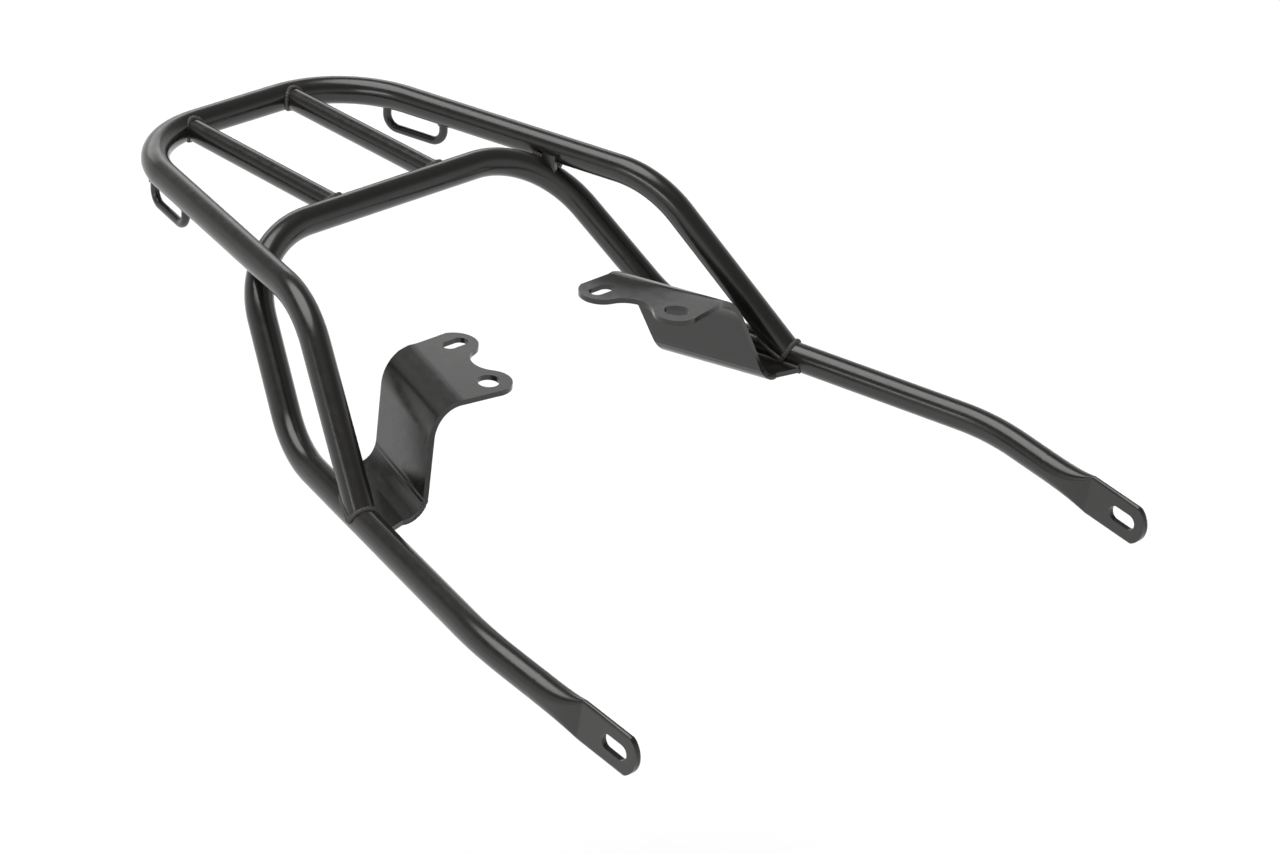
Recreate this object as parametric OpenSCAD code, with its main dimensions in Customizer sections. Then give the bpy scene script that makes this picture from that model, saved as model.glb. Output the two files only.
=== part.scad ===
// Rear luggage rack for a motorcycle: a welded tube frame with a flat platform, tie-down loops,
// two bent-plate brackets and two forward arms with flattened, slotted ends.
// +X points forward, +Y to the left, +Z up. The origin lies midway between the two rear bracket
// slots, on the underside of the bracket flanges, which is the face that seats on the motorcycle.

/* [Tubes] */
// Outer diameter of the hoop and of the support tube
tube_d = 16; // [12:0.5:20]
// Wall of the hoop and of the support tube
tube_wall = 1.5; // [1:0.1:2.5]
// Centreline radius of the main bends
bend_r = 60; // [45:1:66]
// Centreline radius of the slight bend near the front of each arm
arm_bend_r = 150; // [80:5:200]
// Outer diameter of the two platform bars
bar_d = 12.7; // [8:0.1:15]
// Wall of the platform bars
bar_wall = 1.2; // [0.8:0.1:2]

/* [Platform] */
// Rear bar to the front bends of the hoop, between virtual corners
platform_len = 213; // [180:1:260]
// Distance between the side rails at the rear bar
platform_rear_w = 155; // [145:1:190]
// Distance between the side rails at the front bends
platform_front_w = 255; // [220:1:310]
// Rear bar to the crossbar
crossbar_x = 135.5; // [115:0.5:160]
// Distance between the two platform bars
bar_spacing = 73; // [40:1:100]
// Height of the platform tubes' centrelines above the seat of the brackets
platform_h = 35; // [25:0.5:60]

/* [Arms] */
// Rear bar to the lower bend of the support tube
arm_start_x = 222; // [205:1:240]
// Distance between the lower bends
arm_start_w = 278; // [250:1:310]
// Drop from the platform to the lower bends
arm_drop = 82; // [60:1:110]
// Rear bar to the bend near the front of each arm
arm_kink_x = 425; // [390:1:480]
// Distance between the arms in front of that bend
arm_front_w = 374; // [340:1:420]
// Fall of the arm from its lower bend to its front bend
arm_fall = 5; // [0:1:20]
// Downward angle of the arm in front of its bend
arm_nose_angle = 8; // [0:1:15]
// Rear bar to the point where the hoop's foot meets the arm
hoop_foot_x = 298; // [280:1:330]

/* [Flattened arm ends] */
// Front bend to the crease where the flattened end begins
arm_nose_len = 74.5; // [65:0.5:100]
// Length over which the round tube becomes flat
flare_len = 30; // [20:1:36]
// Length of the flattened end
tab_len = 40; // [34:1:55]
// Radius of the flattened end's tip
tab_tip_r = 13; // [12.5:0.1:16]
// Hairline gap between the two walls pressed together
tab_seam = 0.3; // [0.2:0.05:0.6]
// Width of the slot in the flattened end
tab_slot_w = 9; // [6.5:0.1:10]
// Overall length of the slot in the flattened end
tab_slot_len = 18; // [12:0.5:22]
// Crease to the centre of that slot
tab_slot_at = 24.4; // [22:0.1:28]

/* [Brackets] */
// Thickness of the bracket plate
plate_t = 3; // [2:0.25:4]
// Inside radius of the bracket's upper bend
upper_bend_r = 19.5; // [12:0.5:21]
// Inside radius of the bracket's lower bend
lower_bend_r = 13.5; // [6:0.5:15]
// Angle between the bracket's bend lines and the X axis
bracket_angle = 19; // [10:1:25]
// Distance between the two rear slots
seat_spacing = 107.4; // [95:0.1:120]
// Rear bar to the rear slots
seat_x = 250.3; // [244:0.1:256]
// Rear slot to front slot, along the bend line
seat_pitch = 46.4; // [40:0.1:52]
// Slots to the upper bend corner
seat_to_bend = 36.6; // [33:0.1:42]
// Lean of the upright web from vertical
web_lean = 13; // [9:0.5:16]
// Rear slot back to the rear end of the upper bend, along the bend
upper_rear = 6.2; // [2:0.1:10]
// Front slot forward to the front end of the upper bend
upper_front = 15.8; // [13:0.1:22]
// Rear slot forward to the rear end of the lower bend
lower_rear = 15.2; // [10:0.1:20]
// Front slot forward to the front end of the lower bend
lower_front = 35.2; // [28:0.1:40]
// Rear slot back to the rear corner of the lower flange at the arm, along X
shelf_rear = 5; // [2:0.5:8]
// Rear slot forward to the front corner of the lower flange at the arm, along X
shelf_front = 62.5; // [56:0.5:68]
// Arm's centreline down to the middle of the lower flange
shelf_drop = 4.5; // [3:0.1:5]
// Radius of the plate around each slot
ear_r = 12.8; // [11:0.1:15]
// Radius of the notch between the two ears
notch_r = 15; // [11:0.5:20]
// Width of the rear slots
seat_slot_w = 8.5; // [6.5:0.1:9]
// Overall length of the rear slots
seat_slot_len = 16; // [12:0.5:17]
// Width of the front slots
front_slot_w = 11.5; // [8:0.1:12]
// Overall length of the front slots
front_slot_len = 14; // [12.5:0.5:16]
// Direction of the front slots from the X axis
front_slot_angle = 42; // [0:1:90]

/* [Tie-down loops] */
// Diameter of the round rod
rod_d = 5; // [4:0.5:7]
// Centreline radius of the loop's corners
loop_bend_r = 8; // [6:0.5:10]
// Rear bar to the loop's rear leg
loop_x = 33; // [28:1:60]
// Distance between the loop's legs, along the rail
loop_len = 40; // [28:1:60]
// Rail centreline to the loop's lower run
loop_drop = 20; // [18:0.5:30]

/* [Welds and gussets] */
// Leg length of the weld beads on the tubes
weld_leg = 2.5; // [1.5:0.1:3.5]
// Leg length of the weld beads on the tie-down loops
loop_weld_leg = 1.5; // [1:0.1:2.5]
// Gap left between the support tube's corner and the rail, closed by the gusset and its welds
crossing_gap = 0.1; // [0.05:0.05:1]
// Thickness of the crossing gussets
gusset_t = 3; // [2:0.5:4]
// Length of the crossing gussets along the leg, from the point where the tubes meet
gusset_len = 12; // [8:0.5:16]

/* [Hidden] */
$fn = 64;

// Overlap of the flared part with the tube and with the flat end, and how far it stays inside
// the tube's wall and inside the flat end
flare_lap = 0.6;
stub_len = 0.9;
stub_fit = 0.4;
flare_fit = 0.1;
// Band that ties a bend to a straight run: its reach each way, and its rise over the tube
band_len = 0.3;
band_lip = 0.1;

black = [0.09, 0.088, 0.083];
weld_black = [0.13, 0.127, 0.12];

function unit(v) = v / norm(v);
function turn(a, b, c) = acos(unit(b - a) * unit(c - b));
function bend_setback(a, b, c, r) = r * tan(turn(a, b, c) / 2);
function flip(p) = [p.x, -p.y, p.z];
function mix(a, b, t) = a + (b - a) * t;
// Distance from a point to the line through a and b
function line_distance(p, a, b) = norm(cross(p - a, b - a)) / norm(b - a);
// Centre of the bend at b, and a point on it at an angle from its start
function bend_centre(a, b, c, r) =
    b + unit(unit(a - b) + unit(c - b)) * r / cos(turn(a, b, c) / 2);
function bend_start(a, b, c, r) = b - unit(b - a) * bend_setback(a, b, c, r);
function bend_point(a, b, c, r, angle) =
    let (m = bend_centre(a, b, c, r), s = bend_start(a, b, c, r))
    m + (s - m) * cos(angle) + unit(b - a) * r * sin(angle);

// Hoop: virtual corners from the rear bar forward and down to the arm, left side
rear_corner = [0, platform_rear_w / 2, 0];
front_corner = [platform_len, platform_front_w / 2, 0];

// Support tube: lower bend, front bend and crease of the left arm
lower_corner = [arm_start_x, arm_start_w / 2, -arm_drop];
kink_corner = [arm_kink_x, arm_front_w / 2, -arm_drop - arm_fall];
nose_dir = [cos(arm_nose_angle), 0, -sin(arm_nose_angle)];
crease = kink_corner + nose_dir * arm_nose_len;
flare_start = kink_corner + nose_dir * (arm_nose_len - flare_len);
foot = mix(lower_corner, kink_corner, (hoop_foot_x - arm_start_x) / (arm_kink_x - arm_start_x));

// The crossbar's corner tucks under the rail. Its centreline height is found by halving,
// so that the two tubes clear each other by crossing_gap.
rail_y = mix(rear_corner, front_corner, crossbar_x / platform_len).y;
// Rail's centreline in to the crossbar's virtual corner
corner_inset = 3.5;
function cross_corner(drop) = [crossbar_x, rail_y - corner_inset, -drop];
function crossing_clearance(drop) =
    let (a = [crossbar_x, 0, -drop], b = cross_corner(drop), sweep = turn(a, b, lower_corner))
    min([for (i = [0:48])
        line_distance(bend_point(a, b, lower_corner, bend_r, sweep * i / 48),
                      rear_corner, front_corner)]) - tube_d;
function find_drop(low, high, steps) =
    steps == 0 ? high :
    let (middle = (low + high) / 2)
    crossing_clearance(middle) < crossing_gap
        ? find_drop(middle, high, steps - 1)
        : find_drop(low, middle, steps - 1);
cross_drop = find_drop(-8, tube_d, 14);
crossbar_corner = cross_corner(cross_drop);

// Where the corner's bend comes nearest to the rail: its angle along the bend, the centreline
// points on the leg and on the rail, and the way that the crotch in front of it opens
cross_start = [crossbar_x, 0, -cross_drop];
function leg_bend_point(angle) =
    bend_point(cross_start, crossbar_corner, lower_corner, bend_r, angle);
cross_sweep = turn(cross_start, crossbar_corner, lower_corner);
cross_steps = [for (i = [0:96])
    line_distance(leg_bend_point(cross_sweep * i / 96), rear_corner, front_corner)];
cross_angle = cross_sweep * search(min(cross_steps), cross_steps)[0] / 96;
crossing_leg = leg_bend_point(cross_angle);
rail_dir = unit(front_corner - rear_corner);
crossing_rail = rear_corner + rail_dir * ((crossing_leg - rear_corner) * rail_dir);
leg_dir = unit(lower_corner - crossbar_corner);
crotch_dir = unit(unit([leg_dir.x, leg_dir.y, 0]) + rail_dir);
gusset_sweep = gusset_len / bend_r * 180 / PI;
function arm_y(x) =
    mix(lower_corner, kink_corner, (x - arm_start_x) / (arm_kink_x - arm_start_x)).y;

// The hoop's legs stop short of the arms' centrelines by hoop_gap, and are coped to the arms
hoop_gap = 3;
hoop_end = foot + unit(front_corner - foot) * hoop_gap;
hoop_path = [
    flip(hoop_end), flip(front_corner), flip(rear_corner), rear_corner, front_corner, hoop_end
];
arm_path = [crossbar_corner, lower_corner, kink_corner, flare_start];
support_path = concat([for (i = [3:-1:0]) flip(arm_path[i])], arm_path);
support_radii = [arm_bend_r, bend_r, bend_r, bend_r, bend_r, arm_bend_r];
hoop_radii = [bend_r, bend_r, bend_r, bend_r];

// Bars run between the centrelines of the rear bar and the crossbar
bar_y = bar_spacing / 2;
bar_path = [[0, bar_y, 0], [crossbar_x, bar_y, -cross_drop]];

// Tie-down loop: down from the rail, along it and up again
loop_top = rear_corner + rail_dir * loop_x / rail_dir.x;
loop_down = [0, 0, -loop_drop];
loop_path = [
    loop_top, loop_top + loop_down,
    loop_top + rail_dir * loop_len + loop_down, loop_top + rail_dir * loop_len
];

// Flattened end: the walls fold flat, so the width follows from the tube's circumference
tab_t = 2 * tube_wall + tab_seam;
tab_w = (tube_d - tube_wall) * PI / 2 + tube_wall;

// Bracket, in a frame turned by bracket_angle: u along the bend lines, v outward, z up
seat_z = -platform_h;
bracket_u = [cos(bracket_angle), sin(bracket_angle), 0];
bracket_v = [-sin(bracket_angle), cos(bracket_angle), 0];
function to_uv(p) = [p * bracket_u, p * bracket_v];
rear_slot = to_uv([seat_x, seat_spacing / 2, 0]);
front_slot = rear_slot + [seat_pitch, 0];
upper_bend_v = rear_slot.y + seat_to_bend;
flange_mid_z = seat_z + plate_t / 2;
shelf_mid_z = mix(lower_corner, foot, 0.7).z - shelf_drop;
web_h = flange_mid_z - shelf_mid_z;
lower_bend_v = upper_bend_v + web_h * tan(web_lean);
web_turn = 90 - web_lean;
upper_mid_r = upper_bend_r + plate_t / 2;
lower_mid_r = lower_bend_r + plate_t / 2;
// Rear and front edges of the plate at the upper and at the lower bend, along u
upper_rear_u = rear_slot.x - upper_rear;
upper_front_u = front_slot.x + upper_front;
lower_rear_u = rear_slot.x + lower_rear;
lower_front_u = front_slot.x + lower_front;
shelf_rear_x = seat_x - shelf_rear;
shelf_front_x = seat_x + shelf_front;
// Ends of the two bends in v, and the limits of the blank that the bracket is trimmed from
flange_end_v = upper_bend_v - upper_mid_r * tan(web_turn / 2);
shelf_start_v = lower_bend_v + lower_mid_r * tan(web_turn / 2);
plate_near_v = rear_slot.y - 2 * ear_r;
plate_far_v = to_uv([shelf_rear_x, arm_y(shelf_rear_x), 0]).y + ear_r;
plate_rear_u = rear_slot.x - 2 * ear_r;
plate_front_u = to_uv([shelf_front_x, arm_y(shelf_front_x), 0]).x + ear_r;
bend_steps = 12;
trim_lap = 0.25;

// Places its children so that local Z runs along the direction z and local X along x
module oriented(origin, x, z) {
    y = cross(z, x);
    multmatrix([
        [x.x, y.x, z.x, origin.x],
        [x.y, y.y, z.y, origin.y],
        [x.z, y.z, z.z, origin.z]
    ]) children();
}

function side_axis(z) = unit(cross(abs(z.z) > 0.9 ? [1, 0, 0] : [0, 0, 1], z));

module ring_section(d_out, d_in) {
    difference() {
        circle(d = d_out);
        if (d_in > 0) circle(d = d_in);
    }
}

// Straight length of tube from a to b
module straight_run(a, b, d_out, d_in) {
    oriented(a, side_axis(unit(b - a)), unit(b - a))
        linear_extrude(norm(b - a)) ring_section(d_out, d_in);
}

// Bend at b on the way from a to c, with a narrow band at each end that ties it to the straight
// run there
module bend_run(a, b, c, r, d_out, d_in) {
    centre = bend_centre(a, b, c, r);
    x = unit(bend_start(a, b, c, r) - centre);
    band = band_len / r * 180 / PI;
    oriented(centre, x, cross(x, unit(b - a))) {
        rotate_extrude(angle = turn(a, b, c)) translate([r, 0]) ring_section(d_out, d_in);
        for (at = [0, turn(a, b, c)])
            rotate([0, 0, at - band]) rotate_extrude(angle = 2 * band) translate([r, 0])
                ring_section(d_out + 2 * band_lip, d_in - 2 * band_lip);
    }
}

// Tube along a path of virtual corners, with a bend radius at each inner corner
module bent_tube(path, radii, d_out, d_in = 0) {
    last = len(path) - 1;
    setbacks = [for (i = [0:last])
        i == 0 || i == last ? 0
            : bend_setback(path[i - 1], path[i], path[i + 1], radii[i - 1]) + band_len / 2];
    for (i = [1:last]) {
        dir = unit(path[i] - path[i - 1]);
        straight_run(path[i - 1] + dir * setbacks[i - 1], path[i] - dir * setbacks[i],
                     d_out, d_in);
    }
    for (i = [1:last - 1])
        bend_run(path[i - 1], path[i], path[i + 1], radii[i - 1], d_out, d_in);
}

// Solid envelopes that other pieces are coped to
module rear_bar_envelope(grow = 0) {
    straight_run(flip(rear_corner), rear_corner, tube_d + 2 * grow, 0);
}

module crossbar_envelope(grow = 0) {
    straight_run(flip(crossbar_corner), crossbar_corner, tube_d + 2 * grow, 0);
}

module rail_envelope(grow = 0) {
    straight_run(rear_corner, front_corner, tube_d + 2 * grow, 0);
}

module leg_envelope(grow = 0) {
    bent_tube([cross_start, crossbar_corner, lower_corner], [bend_r], tube_d + 2 * grow);
}

module arm_envelope(grow = 0) {
    straight_run(lower_corner, kink_corner, tube_d + 2 * grow, 0);
}

module right_side() {
    mirror([0, 1, 0]) children();
}

// Moves the frame from its rear bar to the row's origin
module placed() {
    translate([-seat_x, 0, platform_h]) children();
}

module slot_outline(w, length) {
    for (side = [-1, 1]) translate([side * (length - w) / 2, 0]) circle(d = w);
    square([length - w, w], center = true);
}

/* ---- tubes ---- */

module hoop_tube() {
    color(black) placed() difference() {
        bent_tube(hoop_path, hoop_radii, tube_d, tube_d - 2 * tube_wall);
        arm_envelope();
        right_side() arm_envelope();
    }
}

// Section across the flattened end, with the given half thickness in Y
module flat_section(w, t) {
    for (side = [-1, 1]) translate([side * (w - t) / 2, 0]) circle(d = t);
    square([w - t, t], center = true);
}

// Round to flat: a short round stub inside the tube's end, then down to the flat section, which
// reaches the crease
module flare(d, w, t) {
    hull() {
        translate([0, 0, -flare_lap]) linear_extrude(stub_len) circle(d = d, $fn = 48);
        translate([0, 0, flare_len - flare_lap]) linear_extrude(flare_lap)
            flat_section(w, t, $fn = 24);
    }
}

module tab_outline() {
    intersection() {
        translate([-2 * flare_lap, -tab_w / 2]) square([tab_len + 2 * flare_lap, tab_w]);
        union() {
            translate([-2 * flare_lap, -tab_w / 2])
                square([tab_len + 2 * flare_lap - tab_tip_r, tab_w]);
            translate([tab_len - tab_tip_r, 0]) circle(r = tab_tip_r);
        }
    }
}

// Flattened end of the left arm. Where the flare laps the tube and the flat end it stays
// inside their surfaces.
module arm_end() {
    up = [sin(arm_nose_angle), 0, cos(arm_nose_angle)];
    bore_d = tube_d - 2 * tube_wall;
    seam_w = tab_w - 2 * tube_wall;
    difference() {
        union() {
            oriented(flare_start, up, nose_dir)
                flare(tube_d - stub_fit, tab_w - flare_fit, tab_t - flare_fit);
            oriented(crease + [0, tab_t / 2, 0], nose_dir, [0, -1, 0])
                linear_extrude(tab_t) tab_outline();
        }
        oriented(flare_start, up, nose_dir)
            flare(bore_d + stub_fit, seam_w - flare_fit, tab_seam - flare_fit);
        oriented(crease, nose_dir, [0, -1, 0])
            translate([-2 * flare_lap, -seam_w / 2, -tab_seam / 2])
                cube([tab_len + 4 * flare_lap, seam_w, tab_seam]);
        oriented(crease + [0, tab_t, 0], nose_dir, [0, -1, 0])
            translate([tab_slot_at, 0, 0]) linear_extrude(2 * tab_t)
                slot_outline(tab_slot_w, tab_slot_len);
    }
}

module support_tube() {
    color(black) placed() {
        bent_tube(support_path, support_radii, tube_d, tube_d - 2 * tube_wall);
        arm_end();
        right_side() arm_end();
    }
}

module platform_bar_left() {
    color(black) placed() difference() {
        straight_run(bar_path[0], bar_path[1], bar_d, bar_d - 2 * bar_wall);
        rear_bar_envelope();
        crossbar_envelope();
    }
}

module platform_bar_right() {
    right_side() platform_bar_left();
}

/* ---- tie-down loops ---- */

module loop_rod(d) {
    bent_tube(loop_path, [loop_bend_r, loop_bend_r], d);
}

module tie_loop_left() {
    color(black) placed() difference() {
        loop_rod(rod_d);
        rail_envelope();
    }
}

module tie_loop_right() {
    right_side() tie_loop_left();
}

/* ---- brackets ---- */

function arc(centre, r, from, to) =
    [for (i = [0:bend_steps])
        let (angle = mix(from, to, i / bend_steps))
        centre + r * [cos(angle), sin(angle)]];

// Section of the plate across its bend lines, in v and z: flange, bend, web, bend, shelf
module plate_section() {
    upper = [flange_end_v, flange_mid_z - upper_mid_r];
    lower = [shelf_start_v, shelf_mid_z + lower_mid_r];
    polygon(concat(
        [[plate_near_v, seat_z + plate_t]],
        arc(upper, upper_bend_r + plate_t, 90, web_lean),
        arc(lower, lower_bend_r, 180 + web_lean, 270),
        [[plate_far_v, shelf_mid_z + plate_t / 2], [plate_far_v, shelf_mid_z - plate_t / 2]],
        arc(lower, lower_bend_r + plate_t, 270, 180 + web_lean),
        arc(upper, upper_bend_r, web_lean, 90),
        [[plate_near_v, seat_z]]
    ));
}

// Outline of the seat flange in u and v. It runs on past the start of the upper bend by trim_lap.
module seat_outline() {
    notch_drop = sqrt(pow(ear_r + notch_r, 2) - pow(seat_pitch / 2, 2));
    notch = [(rear_slot.x + front_slot.x) / 2, rear_slot.y - notch_drop];
    ear_side = ear_r * seat_pitch / 2 / (ear_r + notch_r);
    ear_rise = ear_r * notch_drop / (ear_r + notch_r);
    difference() {
        union() {
            translate(rear_slot) circle(r = ear_r);
            translate(front_slot) circle(r = ear_r);
            polygon([
                [upper_rear_u, flange_end_v + 2 * trim_lap],
                [upper_front_u, flange_end_v + 2 * trim_lap],
                [upper_front_u, flange_end_v],
                front_slot + [ear_r, 0], front_slot,
                front_slot + [-ear_side, -ear_rise], rear_slot + [ear_side, -ear_rise],
                rear_slot, rear_slot + [-ear_r, 0],
                [upper_rear_u, flange_end_v]
            ]);
        }
        translate(notch) circle(r = notch_r);
    }
}

// Outline of the lower flange in u and v, from just inside the lower bend to the arm's centreline
module shelf_outline() {
    polygon([
        [lower_rear_u, shelf_start_v - 2 * trim_lap], [lower_rear_u, shelf_start_v],
        to_uv([shelf_rear_x, arm_y(shelf_rear_x), 0]),
        to_uv([shelf_front_x, arm_y(shelf_front_x), 0]),
        [lower_front_u, shelf_start_v], [lower_front_u, shelf_start_v - 2 * trim_lap]
    ]);
}

// Everything outside an outline seen from above, between two values of v
module trim_plan(from_v, to_v) {
    translate([0, 0, shelf_mid_z - plate_t]) linear_extrude(web_h + 2 * plate_t) difference() {
        translate([plate_rear_u, from_v])
            square([plate_front_u - plate_rear_u, to_v - from_v]);
        children();
    }
}

// Everything beyond one edge of the upright web, from that edge out to u
module trim_web(upper_u, lower_u, u) {
    slope = (lower_u - upper_u) / web_h;
    rise = plate_t;
    translate([0, shelf_start_v + trim_lap, 0]) rotate([90, 0, 0])
        linear_extrude(shelf_start_v - flange_end_v)
            polygon([
                [u, flange_mid_z + rise], [upper_u - slope * rise, flange_mid_z + rise],
                [lower_u + slope * rise, shelf_mid_z - rise], [u, shelf_mid_z - rise]
            ]);
}

module bracket_left() {
    color(black) placed() difference() {
        rotate([0, 0, bracket_angle]) difference() {
            translate([plate_rear_u + plate_t, 0, 0]) rotate([90, 0, 90])
                linear_extrude(plate_front_u - plate_rear_u - 2 * plate_t) plate_section();
            trim_plan(plate_near_v - plate_t, flange_end_v + trim_lap) seat_outline();
            trim_web(upper_rear_u, lower_rear_u, plate_rear_u);
            trim_web(upper_front_u, lower_front_u, plate_front_u);
            trim_plan(shelf_start_v - trim_lap, plate_far_v + plate_t) shelf_outline();
            translate([rear_slot.x, rear_slot.y, seat_z - plate_t])
                linear_extrude(3 * plate_t) rotate(90 - bracket_angle)
                    slot_outline(seat_slot_w, seat_slot_len);
            translate([front_slot.x, front_slot.y, seat_z - plate_t])
                linear_extrude(3 * plate_t) rotate(front_slot_angle - bracket_angle)
                    slot_outline(front_slot_w, front_slot_len);
        }
        arm_envelope();
    }
}

module bracket_right() {
    right_side() bracket_left();
}

/* ---- gussets and welds ---- */

// Plate in the crotch between the rail and the leg of the left support tube: its lower edge
// follows the leg's centreline and its upper edge the rail's, and both tubes are cut away
module gusset() {
    leg_edge = [for (i = [0:4])
        let (p = leg_bend_point(cross_angle + gusset_sweep * i / 4))
        [(p - crossing_leg) * crotch_dir, p.z]];
    difference() {
        oriented([crossing_leg.x, crossing_leg.y, 0], crotch_dir, cross(crotch_dir, [0, 0, 1]))
            translate([0, 0, -gusset_t / 2]) linear_extrude(gusset_t)
                polygon(concat([[0, 0]], leg_edge, [[leg_edge[4].x, 0]]));
        rail_envelope();
        leg_envelope();
    }
}

module crossing_gusset_left() {
    color(black) placed() gusset();
}

module crossing_gusset_right() {
    right_side() crossing_gusset_left();
}

// Bead where the end of a round piece meets the side of a tube. Its children are the piece,
// the piece thicker by the bead, the tube, and the tube thicker by the bead.
module joint_bead() {
    difference() {
        intersection() {
            children(1);
            children(3);
        }
        children(0);
        children(2);
    }
}

module rear_bar_weld() {
    joint_bead() {
        straight_run(bar_path[0], bar_path[1], bar_d, 0);
        straight_run(bar_path[0], mix(bar_path[0], bar_path[1], 0.2), bar_d + 2 * weld_leg, 0);
        rear_bar_envelope();
        rear_bar_envelope(weld_leg);
    }
}

module rear_bar_welds() {
    color(weld_black) placed() {
        rear_bar_weld();
        right_side() rear_bar_weld();
    }
}

module crossbar_weld() {
    joint_bead() {
        straight_run(bar_path[0], bar_path[1], bar_d, 0);
        straight_run(mix(bar_path[0], bar_path[1], 0.8), bar_path[1], bar_d + 2 * weld_leg, 0);
        crossbar_envelope();
        crossbar_envelope(weld_leg);
    }
}

module crossbar_welds() {
    color(weld_black) placed() {
        crossbar_weld();
        right_side() crossbar_weld();
    }
}

module loop_welds_left() {
    color(weld_black) placed() joint_bead() {
        loop_rod(rod_d);
        loop_rod(rod_d + 2 * loop_weld_leg);
        rail_envelope();
        rail_envelope(loop_weld_leg);
    }
}

module loop_welds_right() {
    right_side() loop_welds_left();
}

// Bead round the spot where the corner of the support tube touches the rail
module crossing_weld_left() {
    normal = unit(crossing_rail - crossing_leg);
    color(weld_black) placed() difference() {
        joint_bead() {
            rail_envelope();
            rail_envelope(weld_leg);
            leg_envelope();
            leg_envelope(weld_leg);
        }
        straight_run(crossing_leg, crossing_rail, 2 * weld_leg, 0);
        gusset();
    }
}

module crossing_weld_right() {
    right_side() crossing_weld_left();
}

module hoop_foot_weld_left() {
    color(weld_black) placed() joint_bead() {
        straight_run(mix(front_corner, foot, 0.7), hoop_end, tube_d, 0);
        straight_run(mix(front_corner, foot, 0.7), foot, tube_d + 2 * weld_leg, 0);
        arm_envelope();
        arm_envelope(weld_leg);
    }
}

module hoop_foot_weld_right() {
    right_side() hoop_foot_weld_left();
}

// Seam along the arm on one face of the bracket's lower flange, from height z upward
module bracket_seam(z) {
    inset = plate_t;
    color(weld_black) placed() difference() {
        intersection() {
            arm_envelope(weld_leg);
            translate([shelf_rear_x + inset, 0, z])
                cube([shelf_front_x - shelf_rear_x - 2 * inset, arm_y(arm_kink_x), weld_leg]);
        }
        arm_envelope();
        arm_outer_half();
    }
}

// Space on the outer side of the arm, where no seam is laid
module arm_outer_half() {
    dir = unit([kink_corner.x - lower_corner.x, kink_corner.y - lower_corner.y, 0]);
    oriented(lower_corner, dir, [0, 0, 1])
        translate([0, 0, -tube_d]) cube([norm(kink_corner - lower_corner), 2 * tube_d, 2 * tube_d]);
}

module bracket_seam_top_left() {
    bracket_seam(shelf_mid_z + plate_t / 2);
}

module bracket_seam_top_right() {
    right_side() bracket_seam_top_left();
}

module bracket_seam_under_left() {
    bracket_seam(shelf_mid_z - plate_t / 2 - weld_leg);
}

module bracket_seam_under_right() {
    right_side() bracket_seam_under_left();
}

hoop_tube();
support_tube();
platform_bar_left();
platform_bar_right();
tie_loop_left();
tie_loop_right();
bracket_left();
bracket_right();
crossing_gusset_left();
crossing_gusset_right();
rear_bar_welds();
crossbar_welds();
loop_welds_left();
loop_welds_right();
crossing_weld_left();
crossing_weld_right();
hoop_foot_weld_left();
hoop_foot_weld_right();
bracket_seam_top_left();
bracket_seam_top_right();
bracket_seam_under_left();
bracket_seam_under_right();
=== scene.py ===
"""Welded tubular rear rack for a motorcycle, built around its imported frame.

Bent tubes, bars and tie-down rods are swept along their own centrelines by Geometry Nodes, the
flattened arm ends and the folded brackets are laid out in mesh code, and the weld beads follow the
curves where the surfaces meet.
"""

import math
from types import SimpleNamespace

import bmesh
import bpy
from mathutils import Matrix, Vector
from mathutils.geometry import delaunay_2d_cdt


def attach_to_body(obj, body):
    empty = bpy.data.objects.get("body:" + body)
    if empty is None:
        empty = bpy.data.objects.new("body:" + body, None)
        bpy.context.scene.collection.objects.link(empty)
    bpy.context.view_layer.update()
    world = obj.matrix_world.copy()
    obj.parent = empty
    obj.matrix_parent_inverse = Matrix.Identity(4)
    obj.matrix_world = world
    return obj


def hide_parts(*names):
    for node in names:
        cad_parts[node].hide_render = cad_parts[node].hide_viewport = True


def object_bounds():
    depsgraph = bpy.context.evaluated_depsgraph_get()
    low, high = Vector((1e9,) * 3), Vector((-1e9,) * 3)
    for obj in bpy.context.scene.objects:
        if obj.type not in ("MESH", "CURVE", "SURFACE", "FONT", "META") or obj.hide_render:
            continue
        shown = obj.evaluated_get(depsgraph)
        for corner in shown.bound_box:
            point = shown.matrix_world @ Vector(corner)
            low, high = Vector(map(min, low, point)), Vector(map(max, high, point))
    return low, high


bl_info = {
    "name": "Welded Tube Rack",
    "version": (1, 0, 0),
    "blender": (4, 5, 0),
    "location": "View3D > Sidebar > Rack",
    "description": "Builds a rear luggage rack from bent tubes, folded brackets and weld beads",
    "category": "Add Mesh",
}

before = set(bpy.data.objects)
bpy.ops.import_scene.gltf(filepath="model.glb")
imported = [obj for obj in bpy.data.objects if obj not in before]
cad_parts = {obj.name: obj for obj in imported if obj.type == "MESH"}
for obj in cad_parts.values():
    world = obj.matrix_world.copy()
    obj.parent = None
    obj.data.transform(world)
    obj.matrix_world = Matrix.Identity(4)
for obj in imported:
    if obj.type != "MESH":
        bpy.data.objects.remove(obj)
cad_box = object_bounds()

MM = 0.001
UP = Vector((0, 0, 1))
SLOT = "black_powder_coat"
WELD_SLOT = "weld_powder_coat"

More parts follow.
